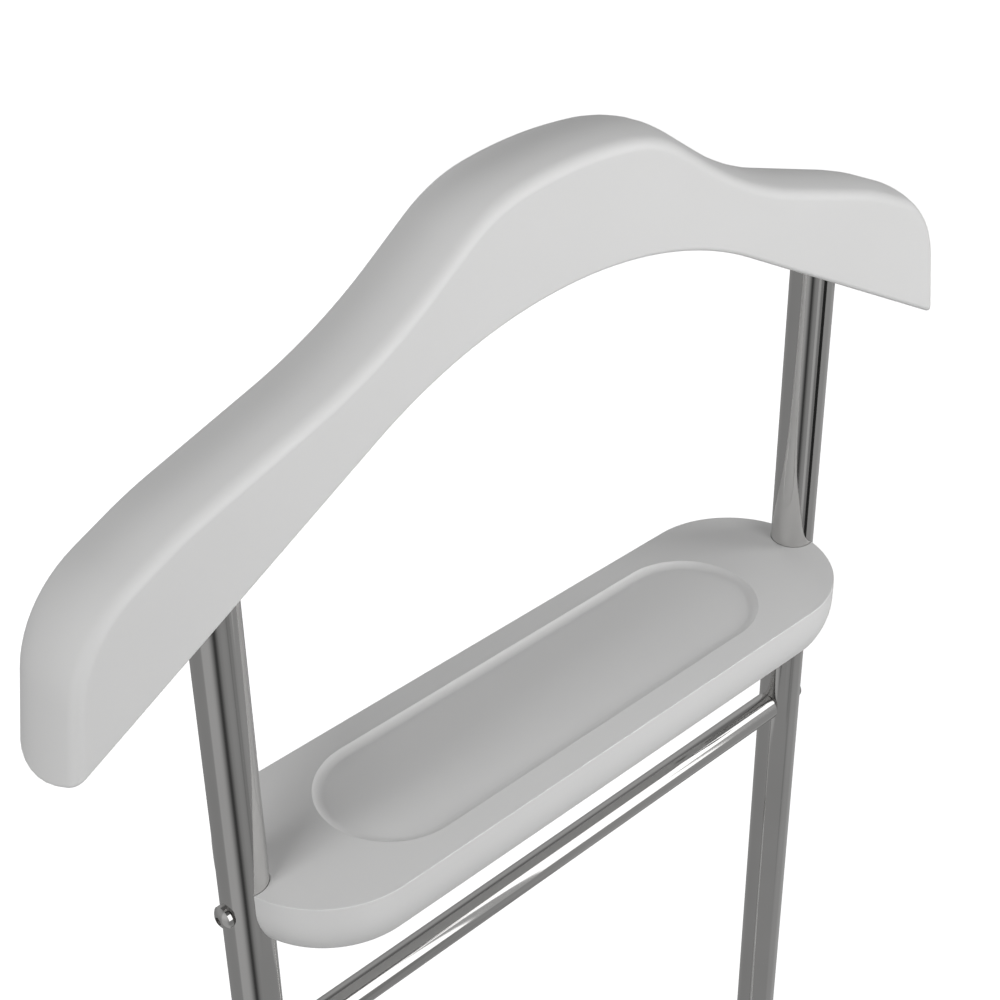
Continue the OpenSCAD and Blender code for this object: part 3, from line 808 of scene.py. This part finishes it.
def stageForGloss(name, bm, finish):      # seen in reflections alone
    mesh = bpy.data.meshes.new(name)
    bm.to_mesh(mesh)
    bm.free()
    mesh.materials.append(finish)
    finish.cycles.emission_sampling = "NONE"
    wall = bpy.data.objects.new(name, mesh)
    scene.collection.objects.link(wall)
    for ray in ("camera", "diffuse", "transmission", "shadow", "volume_scatter"):
        setattr(wall, "visible_" + ray, False)


def addLight(tree):
    light = tree.nodes.new("ShaderNodeEmission")
    tree.links.new(light.outputs[0], tree.nodes["Material Output"].inputs["Surface"])
    return light


def makeTent(look):
    finish, tree, _, coords = newFinish("paintedReflectionWalls")
    parts = tree.nodes.new("ShaderNodeSeparateXYZ")
    tree.links.new(addStretch(tree, coords, (1, -1, 1)), parts.inputs[0])
    turn = tree.nodes.new("ShaderNodeMath")
    turn.operation = "ARCTAN2"
    tree.links.new(parts.outputs["X"], turn.inputs[0])
    tree.links.new(parts.outputs["Y"], turn.inputs[1])
    around = addRange(tree, turn.outputs[0], 0, 1, -math.pi, math.pi)
    stripes = addRamp(tree, around, [(a / 360 + 0.5, (level,) * 3) for a, level in look["stripes"]])
    upwards = addRange(tree, parts.outputs["Z"], 0, 1, 0, look["height"])
    stops = [(z / look["height"], (level / look["brightest"],) * 3) for z, level in look["heights"]]
    heights = addRamp(tree, upwards, stops)
    strength = tree.nodes.new("ShaderNodeMath")
    strength.operation = "MULTIPLY"
    strength.inputs[1].default_value = look["brightest"]
    tree.links.new(heights, strength.inputs[0])
    light = addLight(tree)
    tree.links.new(stripes, light.inputs["Color"])
    tree.links.new(strength.outputs[0], light.inputs["Strength"])
    bm = bmesh.new()
    radius, gap = look["radius"], look["overFloor"]
    bmesh.ops.create_cone(bm, cap_ends=True, segments=look["sides"], radius1=radius, radius2=radius,
                          depth=look["height"] - 2 * gap,
                          matrix=Matrix.Translation((0, 0, look["height"] / 2 + gap)))
    stageForGloss("paintedReflectionWalls", bm, finish)

    for name, corner, across, upright, level in look["panels"]:
        finish, tree, *_ = newFinish(name)
        addLight(tree).inputs["Strength"].default_value = level
        bm = bmesh.new()
        bmesh.ops.create_grid(bm, x_segments=4, y_segments=4, size=0.5)
        across, upright = Vector(across), Vector(upright)
        turn = Matrix((across, upright, across.cross(upright))).transposed().to_4x4()
        middle = Vector(corner) + (across + upright) / 2
        bmesh.ops.transform(bm, matrix=Matrix.Translation(middle) @ turn, verts=bm.verts[:])
        stageForGloss(name, bm, finish)


def makeWorld(look):
    world = bpy.data.worlds.new("softSurround")
    scene.world = world
    world.use_nodes = True
    tree = world.node_tree
    background = tree.nodes["Background"]
    background.inputs["Color"].default_value = (1, 1, 1, 1)
    level = addRange(tree, isSeen(tree), look["fill"], look["white"], 0, 1)
    tree.links.new(level, background.inputs["Strength"])


def makeLamps(look):
    target = Vector(look["target"])
    for name, place, size, power in look["lamps"]:
        light = bpy.data.lights.new(name, "AREA")
        light.shape = "SQUARE"
        light.size = size
        light.energy = power
        lamp = bpy.data.objects.new(name, light)
        scene.collection.objects.link(lamp)
        lamp.location = place
        lamp.rotation_euler = (target - lamp.location).to_track_quat("-Z", "Y").to_euler()
        lamp.visible_camera = False
        lamp.visible_glossy = False


makeFloor(floorLook)
makeTent(tentLook)
makeWorld(worldLook)
makeLamps(lampLook)
print("studio: done")

# camera, as recovered from the photograph

cameraPlace = {
    "location": (-0.4494, -0.2983, 1.3439),
    "azimuth": -43.48,
    "elevation": 33.04,
    "roll": -0.99,
    "lens": 71.46,
    "sensor": 36,
    "nearest": 0.01,
}


def makeCamera(place):
    camera = bpy.data.objects.new("camera", bpy.data.cameras.new("camera"))
    scene.collection.objects.link(camera)
    a, e, turn = (math.radians(place[word]) for word in ("azimuth", "elevation", "roll"))
    back = Vector((math.sin(a) * math.cos(e), -math.cos(a) * math.cos(e), math.sin(e)))
    right = (-back).cross(Vector((0, 0, 1))).normalized()
    up = right.cross(-back)
    across = math.cos(turn) * right + math.sin(turn) * up
    upright = -math.sin(turn) * right + math.cos(turn) * up
    camera.rotation_euler = Matrix((across, upright, back)).transposed().to_euler()
    camera.location = place["location"]
    camera.data.sensor_width = place["sensor"]
    camera.data.lens = place["lens"]
    camera.data.clip_start = place["nearest"]
    scene.camera = camera


makeCamera(cameraPlace)
scene.view_settings.view_transform = "Standard"

print("scene: done")
